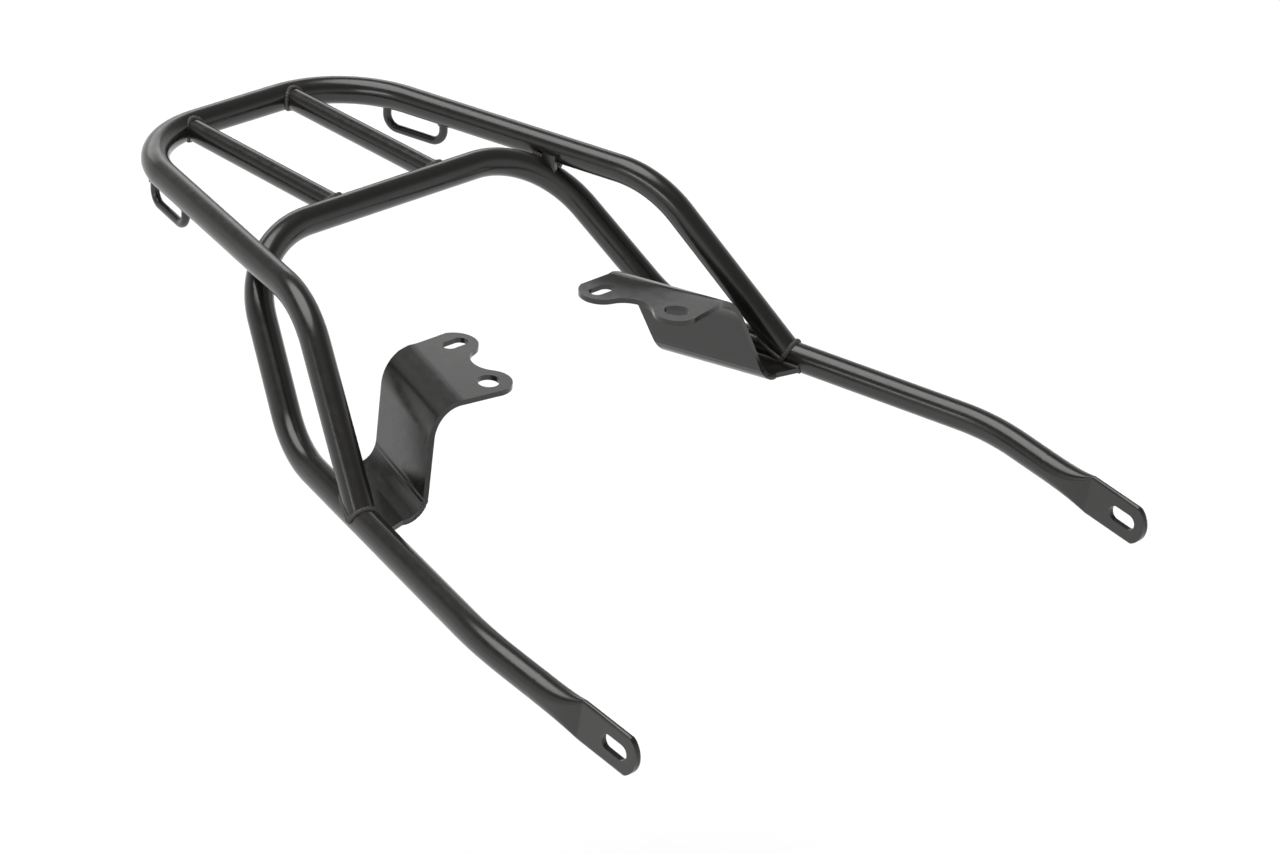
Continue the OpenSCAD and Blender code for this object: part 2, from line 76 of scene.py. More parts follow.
COAT_BUMP, WELD_BUMP = 0.22, 0.4
WELD_ROUGHER = 0.04       # how much rougher the coat lies on a weld
PRESS_STEPS = 26          # sections from the round tube to the flat end
FOLD_STEPS = 24           # lines across the bracket's plate in each fold
EDGE_STEPS = 40           # points along each free edge of the bracket's web
SHELF_PLACE = 0.7         # where the shelf takes its height, from the arm's start to the foot
HOOP_END = 0.004          # how far up its leg the hoop stops, inside the arm
SEAM_BACK, SEAM_AHEAD, SEAM_STEP = 1, 60, 2     # bracket seam from the rear slot, mm
SEAM_SHARE = 0.8          # bracket seam's radius to that of the beads
CROSSING_STEPS = 8        # half the steps of a crossing bead
CROSSING_STEP = 0.0011
CROSSING_APART = 0.42     # crossing beads off the touch line, in tube radii
FLOOR_REACH = 30.0
FLOOR_DROP = 0.35
SKY = ((0.0, 0.92), (0.3, 0.8), (0.55, 0.3), (0.8, 0.22), (1.0, 0.5))
SOFTBOXES = (("back", (-2.6, 1.2, 1.1), (2.4, 0.8), 9),
             ("side", (0.4, -2.4, 1.2), (2.0, 0.4), 14))


# ---------------------------------------------------------------- sizes

def length(name, description, value, low, high):
    """A size that the user can set, given here in millimetres and kept in metres."""
    return bpy.props.FloatProperty(
        name=name, description=description, default=value * MM, min=low * MM, max=high * MM,
        precision=5, subtype="DISTANCE", unit="LENGTH")


def degrees(name, description, value, low, high):
    """An angle that the user can set, given here in degrees and kept in radians."""
    return bpy.props.FloatProperty(
        name=name, description=description, default=math.radians(value),
        min=math.radians(low), max=math.radians(high), subtype="ANGLE", unit="ROTATION")


class RackFrameSizes(bpy.types.PropertyGroup):
    """Sizes of the tube frame."""
    tube: length("Tube", "Outer diameter of the hoop and the support tube", 16, 10, 24)
    wall: length("Wall", "Wall of the tubes", 1.5, 0.8, 3)
    bar: length("Bar", "Outer diameter of the platform bars", 12.7, 6, 18)
    rod: length("Rod", "Diameter of the tie-down loops' rod", 5, 3, 8)
    bend: length("Bend radius", "Centreline radius of the main bends", 60, 30, 80)
    arm_bend: length("Arm bend radius", "Centreline radius of the arms' bend", 150, 60, 220)
    loop_bend: length("Loop bend radius", "Centreline radius of the loops' bends", 8, 5, 12)
    platform: length("Platform length", "Rear bar to front bends", 213, 150, 300)
    rear_width: length("Rear width", "Between the rails at the rear bar", 155, 120, 220)
    front_width: length("Front width", "Between the rails at the bends", 255, 200, 340)
    height: length("Platform height", "Tube centrelines above the bracket seats", 35, 20, 70)
    seat_x: length("Seat", "Rear bar to the bracket seats", 250.3, 200, 300)
    crossbar: length("Crossbar", "Rear bar to the crossbar", 135.5, 100, 180)
    crossbar_half: length("Crossbar corner", "Centre to the crossbar's corner", 105.8, 80, 140)
    crossbar_drop: length("Crossbar drop", "Crossbar below the rear bar", 1.17, 0, 10)
    bars: length("Bar spacing", "Between the two platform bars", 73, 40, 110)
    arm_x: length("Arm start", "Rear bar to the lower bends", 222, 180, 260)
    arm_width: length("Arm start width", "Between the lower bends", 278, 220, 330)
    arm_drop: length("Arm drop", "Platform to the lower bends", 82, 40, 130)
    kink_x: length("Arm bend", "Rear bar to the arms' bend", 425, 380, 480)
    kink_width: length("Arm width", "Between the arms in front of the bend", 374, 320, 430)
    kink_fall: length("Arm fall", "Lower bend to the arm's bend", 5, 0, 20)
    nose_angle: degrees("Nose angle", "Downward angle of the arm's front", 8, 0, 20)
    nose: length("Nose", "Arm's bend to the crease of the flat end", 74.5, 50, 110)
    flare: length("Flare", "Length over which the tube goes flat", 33, 15, 45)
    flat: length("Flat end", "Length of the flattened end", 40, 30, 60)
    flat_width: length("Flat width", "Width of the flattened end", 24.2, 16, 32)
    flat_thick: length("Flat thickness", "Thickness of the flattened end", 3.3, 2, 6)
    tip: length("Tip radius", "Radius of the flattened end's tip", 13, 8, 20)
    slot_width: length("Slot width", "Width of the slot in the flat end", 9, 5, 12)
    slot_length: length("Slot length", "Length of the slot in the flat end", 18, 9, 26)
    slot_at: length("Slot place", "Crease to the slot's centre", 24.4, 15, 32)
    foot_x: length("Hoop foot", "Rear bar to where the hoop meets the arm", 298, 260, 340)
    loop_x: length("Loop place", "Rear bar to the loop's rear leg", 33, 20, 70)
    loop_length: length("Loop length", "Between the loop's legs", 40, 20, 70)
    loop_drop: length("Loop drop", "Rail to the loop's lower run", 20, 14, 32)


class RackBracketSizes(bpy.types.PropertyGroup):
    """Sizes of the folded brackets."""
    plate: length("Plate", "Thickness of the bracket plate", 3, 1.5, 5)
    upper_fold: length("Upper fold", "Inside radius of the upper fold", 19.5, 5, 21)
    lower_fold: length("Lower fold", "Inside radius of the lower fold", 13.5, 3, 15)
    fold_angle: degrees("Fold angle", "Fold lines to the rack's length", 19, 0, 30)
    spacing: length("Slot spacing", "Between the two rear slots", 107.4, 80, 140)
    pitch: length("Slot pitch", "Rear slot to front slot along the fold", 46.4, 30, 60)
    to_fold: length("Slots to fold", "Slots to the upper fold corner", 36.6, 25, 50)
    lean: degrees("Web lean", "Lean of the upright web from vertical", 13, 0, 25)
    upper_rear: length("Upper rear", "Rear slot back to the upper fold's end", 6.2, 0, 12)
    upper_front: length("Upper front", "Front slot to the upper fold's end", 15.8, 10, 24)
    lower_rear: length("Lower rear", "Rear slot to the lower fold's rear end", 15.2, 5, 24)
    lower_front: length("Lower front", "Front slot to the lower fold's front", 35.2, 25, 44)
    shelf_rear: length("Shelf rear", "Rear slot back to the shelf's rear corner", 5, 0, 10)
    shelf_front: length("Shelf front", "Rear slot to the shelf's front corner", 62.5, 50, 72)
    shelf_drop: length("Shelf drop", "Arm's centreline to the shelf's middle", 4.5, 0, 6)
    ear: length("Ear radius", "Plate radius round each slot", 12.8, 9, 18)
    notch: length("Notch radius", "Radius of the notch between the ears", 15, 8, 22)
    rear_slot_width: length("Rear slot width", "Width of the rear slot", 8.5, 5, 12)
    rear_slot_length: length("Rear slot length", "Length of the rear slot", 16, 8, 20)
    front_slot_width: length("Front slot width", "Width of the front slot", 11.5, 6, 14)
    front_slot_length: length("Front slot length", "Length of the front slot", 14, 8, 18)
    front_slot_angle: degrees("Front slot angle", "Front slot to the rack's length", 42, 0, 90)


class RackFinish(bpy.types.PropertyGroup):
    """Powder coat and weld beads."""
    coat: bpy.props.FloatVectorProperty(
        name="Coat colour", description="Colour of the powder coat", subtype="COLOR",
        default=(0.0085, 0.008, 0.0068), min=0, max=1)
    roughness: bpy.props.FloatProperty(
        name="Coat roughness", description="Roughness of the satin coat", subtype="FACTOR",
        default=0.22, min=0, max=1)
    peel: length("Orange peel", "Width of the coat's orange peel", 1.4, 0.2, 6)
    bead: length("Bead", "Radius of the weld beads on the tubes", 1.25, 0.8, 3.5)
    rod_bead: length("Rod bead", "Radius of the weld beads on the loops", 0.9, 0.5, 2.5)
    ripple: length("Ripple", "Distance from one weld ripple to the next", 1.7, 0.6, 4)


def measures(group):
    """A group's values with the lengths in millimetres and the angles in degrees."""
    values = {}
    for name in group.__annotations__:
        value = getattr(group, name)
        unit = group.bl_rna.properties[name].unit
        if unit == "LENGTH":
            value = round(value / MM, 4)
        elif unit == "ROTATION":
            value = round(math.degrees(value), 4)
        values[name] = value
    return SimpleNamespace(**values)


def sizes():
    return measures(bpy.context.scene.rack_frame)


def bracket_sizes():
    return measures(bpy.context.scene.rack_bracket)


def finish_sizes():
    return measures(bpy.context.scene.rack_finish)


# ---------------------------------------------------------------- places on the rack

def at(x, y, z):
    """Point from distances in mm: forward of the rear bar, left, and above its centreline."""
    s = sizes()
    return Vector((x - s.seat_x, y, z + s.height)) * MM


def flip(p):
    """The same point on the other side of the rack."""
    return Vector((p.x, -p.y, p.z))


def mirrored(points):
    return [flip(q) for q in points]


class Places:
    """Centreline corners of the left half of the rack, in metres."""

    def __init__(self):
        s = sizes()
        nose = math.radians(s.nose_angle)
        self.rear = at(0, s.rear_width / 2, 0)
        self.front = at(s.platform, s.front_width / 2, 0)
        self.lower = at(s.arm_x, s.arm_width / 2, -s.arm_drop)
        self.kink = at(s.kink_x, s.kink_width / 2, -s.arm_drop - s.kink_fall)
        self.foot = self.lower.lerp(
            self.kink, (s.foot_x - s.arm_x) / (s.kink_x - s.arm_x))
        self.cross = at(s.crossbar, s.crossbar_half, -s.crossbar_drop)
        self.nose_dir = Vector((math.cos(nose), 0, -math.sin(nose)))
        self.nose_up = Vector((math.sin(nose), 0, math.cos(nose)))
        self.crease = self.kink + self.nose_dir * s.nose * MM
        self.rail = (self.front - self.rear).normalized()

    def loop(self):
        s = sizes()
        down = Vector((0, 0, -s.loop_drop * MM))
        top = self.rear + self.rail * (s.loop_x * MM / self.rail.x)
        end = top + self.rail * s.loop_length * MM
        return [top, top + down, end + down, end]

    def bar(self):
        s = sizes()
        return [at(0, s.bars / 2, 0), at(s.crossbar, s.bars / 2, -s.crossbar_drop)]


# ---------------------------------------------------------------- materials

def powder_coat(name, roughness, bump):
    """Satin black powder coat: fine orange peel, faint grit and slightly uneven gloss."""
    f = finish_sizes()
    material = bpy.data.materials.new(name)
    material.use_nodes = True
    nodes, links = material.node_tree.nodes, material.node_tree.links
    shader = nodes["Principled BSDF"]
    shader.inputs["Metallic"].default_value = 0.0
    shader.inputs["IOR"].default_value = 1.56
    place = nodes.new("ShaderNodeTexCoord")

    def noise(scale, detail):
        texture = nodes.new("ShaderNodeTexNoise")
        texture.inputs["Scale"].default_value = scale
        texture.inputs["Detail"].default_value = detail
        links.new(place.outputs["Object"], texture.inputs["Vector"])
        return texture.outputs["Fac"]

    def spread(value, low, high):
        ramp = nodes.new("ShaderNodeMapRange")
        ramp.inputs["From Min"].default_value = 0.3
        ramp.inputs["From Max"].default_value = 0.7
        ramp.inputs["To Min"].default_value = low
        ramp.inputs["To Max"].default_value = high
        links.new(value, ramp.inputs["Value"])
        return ramp.outputs["Result"]

    cloud = noise(35.0, 3.0)
    tint = nodes.new("ShaderNodeMix")
    tint.data_type = "RGBA"
    coat = Vector(f.coat)
    tint.inputs["A"].default_value = (*(coat * 0.88), 1)
    tint.inputs["B"].default_value = (*(coat * 1.14), 1)
    links.new(spread(cloud, 0.0, 1.0), tint.inputs["Factor"])
    links.new(tint.outputs["Result"], shader.inputs["Base Color"])
    links.new(spread(noise(210.0, 2.0), roughness - 0.03, roughness + 0.04),
              shader.inputs["Roughness"])

    peel = nodes.new("ShaderNodeBump")
    peel.inputs["Strength"].default_value = bump
    peel.inputs["Distance"].default_value = 0.00006
    links.new(noise(1.0 / (f.peel * MM), 1.0), peel.inputs["Height"])
    grit = nodes.new("ShaderNodeBump")
    grit.inputs["Strength"].default_value = bump * 0.3
    grit.inputs["Distance"].default_value = 0.00002
    links.new(noise(3.6 / (f.peel * MM), 2.0), grit.inputs["Height"])
    links.new(peel.outputs["Normal"], grit.inputs["Normal"])
    links.new(grit.outputs["Normal"], shader.inputs["Normal"])
    return material


def coat_material():
    return (bpy.data.materials.get("satin_powder_coat")
            or powder_coat("satin_powder_coat", finish_sizes().roughness, COAT_BUMP))


def weld_material():
    return (bpy.data.materials.get("weld_powder_coat")
            or powder_coat("weld_powder_coat", finish_sizes().roughness + WELD_ROUGHER,
                           WELD_BUMP))


# ---------------------------------------------------------------- node trees

def new_tree(name, inputs):
    """Geometry Nodes tree with a Geometry input and output and the named inputs given."""
    tree = bpy.data.node_groups.new(name, "GeometryNodeTree")
    tree.interface.new_socket("Geometry", in_out="INPUT", socket_type="NodeSocketGeometry")
    for label, kind in inputs:
        tree.interface.new_socket(label, in_out="INPUT", socket_type=kind)
    tree.interface.new_socket("Geometry", in_out="OUTPUT", socket_type="NodeSocketGeometry")
    return tree, tree.nodes.new("NodeGroupInput"), tree.nodes.new("NodeGroupOutput")


def finish_tree(tree, source, geometry, output):
    """Ends a tree: smooth shading, Realize Instances, Set Material, output."""
    nodes, links = tree.nodes, tree.links
    smooth = nodes.new("GeometryNodeSetShadeSmooth")
    realize = nodes.new("GeometryNodeRealizeInstances")
    paint = nodes.new("GeometryNodeSetMaterial")
    links.new(geometry, smooth.inputs["Geometry"])
    links.new(smooth.outputs["Geometry"], realize.inputs["Geometry"])
    links.new(realize.outputs["Geometry"], paint.inputs["Geometry"])
    links.new(source.outputs["Material"], paint.inputs["Material"])
    links.new(paint.outputs["Geometry"], output.inputs["Geometry"])


def bent_rod_tree():
    """Round section swept along a path of corners, each filleted to its own bend radius."""
    name = "Bent Rod"
    if name in bpy.data.node_groups:
        return bpy.data.node_groups[name]
    tree, source, output = new_tree(name, [
        ("Radius", "NodeSocketFloat"), ("Sides", "NodeSocketInt"),
        ("Bend Steps", "NodeSocketInt"), ("Material", "NodeSocketMaterial")])
    nodes, links = tree.nodes, tree.links
    path = nodes.new("GeometryNodeMeshToCurve")
    fillet = nodes.new("GeometryNodeFilletCurve")
    fillet.mode = "POLY"
    radius = nodes.new("GeometryNodeInputNamedAttribute")
    radius.data_type = "FLOAT"
    radius.inputs["Name"].default_value = "bend_radius"
    section = nodes.new("GeometryNodeCurvePrimitiveCircle")
    sweep = nodes.new("GeometryNodeCurveToMesh")
    sweep.inputs["Fill Caps"].default_value = True
    links.new(source.outputs["Geometry"], path.inputs["Mesh"])
    links.new(path.outputs["Curve"], fillet.inputs["Curve"])
    links.new(source.outputs["Bend Steps"], fillet.inputs["Count"])
    links.new(radius.outputs["Attribute"], fillet.inputs["Radius"])
    links.new(source.outputs["Sides"], section.inputs["Resolution"])
    links.new(source.outputs["Radius"], section.inputs["Radius"])
    links.new(fillet.outputs["Curve"], sweep.inputs["Curve"])
    links.new(section.outputs["Curve"], sweep.inputs["Profile Curve"])
    finish_tree(tree, source, sweep.outputs["Mesh"], output)
    return tree


def weld_bead_tree():
    """Bead along a seam: overlapping ripples, each one rising sharply and trailing off."""
    name = "Weld Bead"
    if name in bpy.data.node_groups:
        return bpy.data.node_groups[name]
    tree, source, output = new_tree(name, [
        ("Radius", "NodeSocketFloat"), ("Ripple", "NodeSocketFloat"),
        ("Ripple Height", "NodeSocketFloat"), ("Unevenness", "NodeSocketFloat"),
        ("Seed", "NodeSocketFloat"), ("Material", "NodeSocketMaterial")])
    nodes, links = tree.nodes, tree.links

    def math_node(operation, first, second):
        node = nodes.new("ShaderNodeMath")
        node.operation = operation
        for socket, value in zip(node.inputs, (first, second)):
            if isinstance(value, (int, float)):
                socket.default_value = value
            elif value is not None:
                links.new(value, socket)
        return node.outputs["Value"]

    path = nodes.new("GeometryNodeMeshToCurve")
    samples = nodes.new("GeometryNodeResampleCurve")
    samples.mode = "LENGTH"
    run = nodes.new("GeometryNodeSplineParameter")
    swell = nodes.new("GeometryNodeSetCurveRadius")
    section = nodes.new("GeometryNodeCurvePrimitiveCircle")
    section.inputs["Resolution"].default_value = 14
    sweep = nodes.new("GeometryNodeCurveToMesh")
    sweep.inputs["Fill Caps"].default_value = True
    links.new(source.outputs["Geometry"], path.inputs["Mesh"])
    links.new(path.outputs["Curve"], samples.inputs["Curve"])
    links.new(math_node("DIVIDE", source.outputs["Ripple"], 7.0), samples.inputs["Length"])

    wander = nodes.new("ShaderNodeTexNoise")
    wander.noise_dimensions = "1D"
    wander.inputs["Scale"].default_value = 1.0
    wander.inputs["Detail"].default_value = 1.0
    steps = math_node("DIVIDE", run.outputs["Length"], source.outputs["Ripple"])
    links.new(math_node("ADD", math_node("MULTIPLY", steps, 0.6), source.outputs["Seed"]),
              wander.inputs["W"])
    uneven = math_node("MULTIPLY", math_node("SUBTRACT", wander.outputs["Fac"], 0.5),
                       source.outputs["Unevenness"])
    phase = math_node("FRACT", math_node("ADD", steps, uneven), None)
    trail = math_node("POWER", phase, 0.45)
    ripple = math_node("MULTIPLY", math_node("SUBTRACT", 1.0, trail),
                       source.outputs["Ripple Height"])
    size = math_node("ADD", math_node("ADD", 1.0, ripple), math_node("MULTIPLY", uneven, 0.3))
    links.new(samples.outputs["Curve"], swell.inputs["Curve"])
    links.new(size, swell.inputs["Radius"])
    links.new(source.outputs["Radius"], section.inputs["Radius"])
    links.new(swell.outputs["Curve"], sweep.inputs["Curve"])
    links.new(section.outputs["Curve"], sweep.inputs["Profile Curve"])
    radius = nodes.new("GeometryNodeInputRadius")
    links.new(radius.outputs["Radius"], sweep.inputs["Scale"])
    finish_tree(tree, source, sweep.outputs["Mesh"], output)
    return tree


def apply_tree(obj, tree, values):
    """Runs a tree on obj with its inputs set by identifier, and keeps the plain mesh it makes."""
    modifier = obj.modifiers.new(tree.name, "NODES")
    modifier.node_group = tree
    for item in tree.interface.items_tree:
        if item.item_type == "SOCKET" and item.in_out == "INPUT" and item.name in values:
            modifier[item.identifier] = values[item.name]
    return baked(obj)


def baked(obj):
    """Replaces obj's mesh by its evaluated one, and removes its modifiers."""
    bpy.context.view_layer.update()
    result = obj.evaluated_get(bpy.context.evaluated_depsgraph_get())
    mesh = bpy.data.meshes.new_from_object(result)
    old = obj.data
    obj.modifiers.clear()
    obj.data = mesh
    bpy.data.meshes.remove(old)
    return obj


# ---------------------------------------------------------------- mesh helpers

def add_object(name, vertices, faces, edges=()):
    mesh = bpy.data.meshes.new(name)
    mesh.from_pydata([tuple(v) for v in vertices], list(edges), list(faces))
    mesh.validate()
    obj = bpy.data.objects.new(name, mesh)
    bpy.context.scene.collection.objects.link(obj)
    return obj


def add_path(name, points, radii=None, closed=False):
    """Polyline object whose points carry the bend radius of each corner."""
    count = len(points)
    edges = [(i, i + 1) for i in range(count - 1)] + ([(count - 1, 0)] if closed else [])
    obj = add_object(name, points, [], edges)
    bend = obj.data.attributes.new("bend_radius", "FLOAT", "POINT")
    bend.data.foreach_set("value", radii or [0.0] * count)
    return obj


def merged(name, objects):
    """One object that holds the meshes of several."""
    target = objects[0]
    if len(objects) > 1:
        with bpy.context.temp_override(
                active_object=target, object=target, selected_objects=objects,
                selected_editable_objects=objects):
            bpy.ops.object.join()
    target.name = name
    target.data.name = name
    return target


def attach(obj, slot, *cad_nodes):
    """Hands a finished piece to the frame, and stops the script if the piece has no faces."""
    if not obj.data.polygons:
        raise RuntimeError(f"{obj.name} came out without faces")
    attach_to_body(obj, "root")
    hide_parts(*cad_nodes)
    return obj


def rod(name, points, radii, diameter, sides=48, bend_steps=20):
    """Tube, bar or rod along a path, its diameter in mm."""
    path = add_path(name, points, radii)
    return apply_tree(path, bent_rod_tree(), {
        "Radius": diameter * MM / 2, "Sides": sides, "Bend Steps": bend_steps,
        "Material": coat_material()})


def bead(name, points, radius, seed, closed=True):
    """Weld bead along a seam, its radius in mm."""
    path = add_path(name, points, closed=closed)
    return apply_tree(path, weld_bead_tree(), {
        "Radius": radius * MM, "Ripple": finish_sizes().ripple * MM, "Ripple Height": 0.5,
        "Unevenness": 0.9, "Seed": float(seed), "Material": weld_material()})


def crisp(obj, angle, width, segments=2):
    """Eases the edges that are sharper than angle, and shades the faces between them flat."""
    bevel = obj.modifiers.new("edge", "BEVEL")
    bevel.limit_method = "ANGLE"
    bevel.angle_limit = math.radians(angle)
    bevel.width = width * MM
    bevel.segments = segments
    bevel.use_clamp_overlap = True
    obj.modifiers.new("shade", "WEIGHTED_NORMAL").keep_sharp = True
    return obj


def flat_section(width, thick, count):
    """Points evenly spaced round a section with flat sides and round edges, width first."""
    half_round = math.pi * thick / 2
    straight = max(width - thick, 0.0)
    total = 2 * (half_round + straight)
    points = []
    for i in range(count):
        d = total * i / count
        if d < half_round / 2 or d > total - half_round / 2:
            turn = (d if d < total / 2 else d - total) / (thick / 2)
            points.append((straight / 2 + thick / 2 * math.cos(turn),
                           thick / 2 * math.sin(turn)))
        elif d < half_round / 2 + straight:
            points.append((straight / 2 - (d - half_round / 2), thick / 2))
        elif d < half_round * 1.5 + straight:
            turn = math.pi / 2 + (d - half_round / 2 - straight) / (thick / 2)
            points.append((-straight / 2 + thick / 2 * math.cos(turn),
                           thick / 2 * math.sin(turn)))
        else:
            points.append((-straight / 2 + (d - half_round * 1.5 - straight), -thick / 2))
    return points


def prism(name, outline, origin, along, up, normal, half_depth):
    """Cutter with an outline in along and up, and a depth along normal."""
    base = [origin + along * x * MM + up * y * MM for x, y in outline]
    offset = normal * half_depth * MM
    count = len(base)
    vertices = [q - offset for q in base] + [q + offset for q in base]
    faces = [list(range(count))[::-1], list(range(count, 2 * count))]
    faces += [[i, (i + 1) % count, (i + 1) % count + count, i + count] for i in range(count)]
    return add_object(name, vertices, faces)


def stadium(width, length_over, centre, angle=0.0, steps=14):
    """Outline of a slot."""
    reach = (length_over - width) / 2
    cos, sin = math.cos(math.radians(angle)), math.sin(math.radians(angle))
    points = []
    for side, start in ((1, -90), (-1, 90)):
        for i in range(steps + 1):
            turn = math.radians(start + 180 * i / steps)
            x = side * reach + width / 2 * math.cos(turn)
            y = width / 2 * math.sin(turn)
            points.append((centre[0] + x * cos - y * sin, centre[1] + x * sin + y * cos))
    return points


def press(t):
    """How far the tube is pressed flat, from 0 at the start of the flare to 1 at the crease."""
    return 0.25 * t * t + 0.75 * t ** 3.2 if t < 1 else 1.0


def outward(obj):
    """Turns the faces of a closed mesh outwards."""
    work = bmesh.new()
    work.from_mesh(obj.data)
    bmesh.ops.recalc_face_normals(work, faces=work.faces)
    work.to_mesh(obj.data)
    work.free()


def middle_of(points, face):
    total = Vector((0, 0))
    for i in face:
        total += points[i]
    return total / len(face)


def covers(loop, point):
    """Whether a closed outline goes round a point."""
    inside = False
    for i, a in enumerate(loop):
        b = loop[i - 1]
        if (a[1] > point.y) != (b[1] > point.y):
            if point.x < (b[0] - a[0]) * (point.y - a[1]) / (b[1] - a[1]) + a[0]:
                inside = not inside
    return inside


# ---------------------------------------------------------------- seams

def seam_ring(origin, direction, radius, axis_point, axis, host_radius, count=56):
    """Closed curve where the end of a round piece meets the side of a tube."""
    direction, axis = direction.normalized(), axis.normalized()
    first = direction.cross(axis).normalized()
    second = direction.cross(first).normalized()
    points = []
    across = direction - axis * direction.dot(axis)
    for i in range(count):
        turn = 2 * math.pi * i / count
        start = origin + radius * (first * math.cos(turn) + second * math.sin(turn))
        gap = start - axis_point
        gap -= axis * gap.dot(axis)
        a = across.dot(across)
        b = 2 * gap.dot(across)
        c = gap.dot(gap) - host_radius ** 2
        root = math.sqrt(max(b * b - 4 * a * c, 0.0))
        points.append(start + direction * ((-b - root) / (2 * a)))
    return points


def bend_points(a, b, c, radius, count):
    """Points round the bend at corner b, on the way from a to c."""
    u, v = (a - b).normalized(), (c - b).normalized()
    turn = math.pi - u.angle(v)
    setback = radius * math.tan(turn / 2)
    centre = b + (u + v).normalized() * radius / math.cos(turn / 2)
    start = b + u * setback
    out, along = start - centre, -u * radius
    return [centre + out * math.cos(turn * i / count) + along * math.sin(turn * i / count)
            for i in range(count + 1)]


# ---------------------------------------------------------------- bracket blank

class Blank:
    """Flat blank of a bracket, in u along the folds and s across them, and how it folds."""

    def __init__(self):
        s, b = sizes(), bracket_sizes()
        self.upper_r = b.upper_fold + b.plate / 2
        self.lower_r = b.lower_fold + b.plate / 2
        turn = math.radians(90 - b.lean)
        angle = math.radians(b.fold_angle)
        self.turn, self.lean = turn, math.radians(b.lean)
        self.u_dir = (math.cos(angle), math.sin(angle))
        self.v_dir = (-math.sin(angle), math.cos(angle))
        upper_setback = self.upper_r * math.tan(turn / 2)
        lower_setback = self.lower_r * math.tan(turn / 2)
        self.rear_slot = self.to_uv(s.seat_x, b.spacing / 2)
        self.front_slot = (self.rear_slot[0] + b.pitch, self.rear_slot[1])
        self.flange_z = -s.height + b.plate / 2
        shelf = SHELF_PLACE * (s.foot_x - s.arm_x) / (s.kink_x - s.arm_x)
        self.shelf_z = -s.arm_drop - s.kink_fall * shelf - b.shelf_drop
        web_height = self.flange_z - self.shelf_z
        fold_v = self.rear_slot[1] + b.to_fold
        self.fold = fold_v - upper_setback
        self.upper_arc, self.lower_arc = self.upper_r * turn, self.lower_r * turn
        self.web = web_height / math.cos(self.lean) - upper_setback - lower_setback
        self.shelf_v = fold_v + web_height * math.tan(self.lean) + lower_setback
        self.shelf_s = self.fold + self.upper_arc + self.web + self.lower_arc
        self.web_height = web_height

    def to_uv(self, x, y):
        return (x * self.u_dir[0] + y * self.u_dir[1], x * self.v_dir[0] + y * self.v_dir[1])

    def profile(self, s):
        """Place in v and z of a point at distance s across the folds."""
        r = self.upper_r
        upper = (self.fold, self.flange_z - r)
        d = s - self.fold
        if d <= 0:
            return s, self.flange_z
        if d <= self.upper_arc:
            return upper[0] + r * math.sin(d / r), upper[1] + r * math.cos(d / r)
        d -= self.upper_arc
        if d <= self.web:
            v = upper[0] + r * math.cos(self.lean) + d * math.sin(self.lean)
            return v, upper[1] + r * math.sin(self.lean) - d * math.cos(self.lean)
        d -= self.web
        r = self.lower_r
        lower = (self.shelf_v, self.shelf_z + r)
        if d <= self.lower_arc:
            a = self.turn - d / r
            return lower[0] - r * math.sin(a), lower[1] - r * math.cos(a)
        return lower[0] + d - self.lower_arc, self.shelf_z

    def folded(self, u, s):
        v, z = self.profile(s)
        return at(u * self.u_dir[0] + v * self.v_dir[0], u * self.u_dir[1] + v * self.v_dir[1], z)

    def outline(self):
        """Corners of the blank, anticlockwise from the rear end of the upper fold."""
        s, b = sizes(), bracket_sizes()
        slot, front = self.rear_slot, self.front_slot
        drop = math.sqrt((b.ear + b.notch) ** 2 - (b.pitch / 2) ** 2)
        lean = math.degrees(math.atan2(drop, b.pitch / 2))
        notch = ((slot[0] + front[0]) / 2, slot[1] - drop)
        upper = (slot[0] - b.upper_rear, front[0] + b.upper_front)
        lower = (slot[0] + b.lower_rear, front[0] + b.lower_front)

        def arc(centre, radius, start, end, steps):
            turns = [math.radians(start + (end - start) * i / steps) for i in range(steps + 1)]
            return [(centre[0] + radius * math.cos(turn), centre[1] + radius * math.sin(turn))
                    for turn in turns]

        points = [(upper[0], self.fold)]
        points += arc(slot, b.ear, 180, 360 - lean, 22)
        points += arc(notch, b.notch, 180 - lean, lean, 18)[1:-1]
        points += arc(front, b.ear, 180 + lean, 360, 22)
        points.append((upper[1], self.fold))
        across = [self.fold + (self.shelf_s - self.fold) * i / EDGE_STEPS
                  for i in range(1, EDGE_STEPS + 1)]

        def edge(side, d):
            share = (self.flange_z - self.profile(d)[1]) / self.web_height
            return (upper[side] + (lower[side] - upper[side]) * share, d)

        def on_arm(x):
            share = (x - s.arm_x) / (s.kink_x - s.arm_x)
            u, v = self.to_uv(x, s.arm_width / 2 + (s.kink_width - s.arm_width) / 2 * share)
            return (u, self.shelf_s + v - self.shelf_v)

        points += [edge(1, d) for d in across]
        points += [on_arm(s.seat_x + b.shelf_front), on_arm(s.seat_x - b.shelf_rear)]
        points += [edge(0, d) for d in reversed(across)]
        return points

    def holes(self):
        b = bracket_sizes()
        return [stadium(b.rear_slot_width, b.rear_slot_length, self.rear_slot, 90 - b.fold_angle),
                stadium(b.front_slot_width, b.front_slot_length, self.front_slot,
                        b.front_slot_angle - b.fold_angle)]

